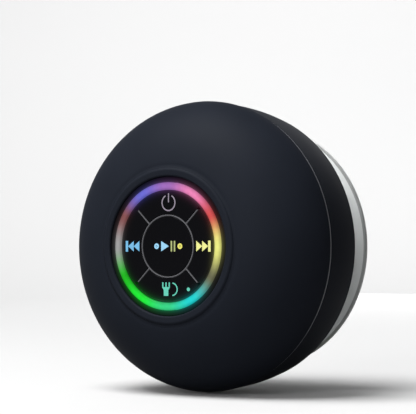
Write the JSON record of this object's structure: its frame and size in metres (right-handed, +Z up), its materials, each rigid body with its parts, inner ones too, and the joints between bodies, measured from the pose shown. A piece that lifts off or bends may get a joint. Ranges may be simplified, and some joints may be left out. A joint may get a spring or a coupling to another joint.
{
  "type": "shower speaker",
  "caption": "Round waterproof wireless speaker with a domed front, a panel of keys in a light ring, and a suction cup that holds it on a wall.",
  "frame": {"origin": "centre of the suction cup's wall face, in the plane of the wall", "axes": "+Y points into the wall, so the keys face -Y; +Z points up the wall, past the power key; +X is to the right when facing the keys"},
  "size_m": [0.088, 0.0532, 0.088],
  "materials": {
    "black_soft_touch": "soft-touch black, slightly blue",
    "black_gloss": "gloss black",
    "grey_line": "satin grey",
    "light_diffuser": "milky diffuser",
    "cup_vinyl": "pale translucent vinyl, satin",
    "seal_rubber": "matt black rubber",
    "board_green": "green solder mask",
    "chip_black": "moulded black",
    "led_white": "white",
    "battery_wrap": "blue wrap",
    "chassis_plastic": "dark grey moulding",
    "mesh_cloth": "fine black cloth",
    "cone_paper": "pressed black paper",
    "magnet_ferrite": "dull ferrite",
    "plated_steel": "plated",
    "copper": "copper wire",
    "spider_cloth": "treated cloth",
    "lead_red": "red insulation",
    "lead_black": "black insulation"
  },
  "bodies": {
    "cup": {"suction_cup": "cup_vinyl"},
    "speaker": {"front_shell": "black_soft_touch", "rear_shell": "black_soft_touch", "panel_surround": "black_soft_touch", "panel_carrier": "black_gloss", "key_frame": "grey_line", "light_ring": "light_diffuser", "seam_gasket": "seal_rubber", "key_membrane": "seal_rubber", "plug_strap": "seal_rubber", "driver_gasket": "seal_rubber", "driver_surround": "seal_rubber", "key_board": "board_green", "main_board": "board_green", "port_board": "board_green", "amplifier_chip": "chip_black", "led_1": "led_white", "led_2": "led_white", "led_3": "led_white", "led_4": "led_white", "led_5": "led_white", "led_6": "led_white", "battery": "battery_wrap", "inner_chassis": "chassis_plastic", "key_spacer": "chassis_plastic", "hub_cap": "chassis_plastic", "sound_mesh": "mesh_cloth", "driver_magnet": "magnet_ferrite", "swivel_washer": "plated_steel", "shell_screw_1": "plated_steel", "shell_screw_2": "plated_steel", "shell_screw_3": "plated_steel", "play_switch": "plated_steel", "power_switch": "plated_steel", "next_switch": "plated_steel", "call_switch": "plated_steel", "previous_switch": "plated_steel", "microphone": "plated_steel", "wireless_module": "plated_steel", "charge_port": "plated_steel", "driver_frame": "plated_steel", "driver_top_plate": "plated_steel", "driver_yoke": "plated_steel", "driver_spider": "spider_cloth", "battery_lead": "lead_red", "driver_lead": "lead_black"},
    "play_key": {"play_key": "black_gloss", "play_switch_button": "chip_black"},
    "power_key": {"power_key": "black_gloss", "power_switch_button": "chip_black"},
    "next_key": {"next_key": "black_gloss", "next_switch_button": "chip_black"},
    "call_key": {"call_key": "black_gloss", "call_switch_button": "chip_black"},
    "previous_key": {"previous_key": "black_gloss", "previous_switch_button": "chip_black"},
    "cone": {"driver_cone": "cone_paper", "driver_dust_cap": "cone_paper", "voice_coil": "copper"},
    "port_plug": {"port_plug": "seal_rubber"}
  },
  "joints": [
    {"name": "cup_swivel", "type": "hinge", "parent": "cup", "child": "speaker", "pos_m": [0, 0, 0], "axis": [0, 1, 0], "continuous": true},
    {"name": "play_key_press", "type": "slide", "parent": "speaker", "child": "play_key", "axis": [0, 1, 0], "range_m": [0, 0.0004], "stiffness_N_per_m": 3000},
    {"name": "power_key_press", "type": "slide", "parent": "speaker", "child": "power_key", "axis": [0, 1, 0], "range_m": [0, 0.0004], "stiffness_N_per_m": 3000},
    {"name": "next_key_press", "type": "slide", "parent": "speaker", "child": "next_key", "axis": [0, 1, 0], "range_m": [0, 0.0004], "stiffness_N_per_m": 3000},
    {"name": "call_key_press", "type": "slide", "parent": "speaker", "child": "call_key", "axis": [0, 1, 0], "range_m": [0, 0.0004], "stiffness_N_per_m": 3000},
    {"name": "previous_key_press", "type": "slide", "parent": "speaker", "child": "previous_key", "axis": [0, 1, 0], "range_m": [0, 0.0004], "stiffness_N_per_m": 3000},
    {"name": "cone_travel", "type": "slide", "parent": "speaker", "child": "cone", "axis": [0, 1, 0], "range_m": [-0.001, 0.001], "stiffness_N_per_m": 1500},
    {"name": "port_plug_open", "type": "hinge", "parent": "speaker", "child": "port_plug", "pos_m": [-0.04315, -0.0218, 0], "axis": [0, 0, -1], "range_deg": [0, 110]}
  ]
}
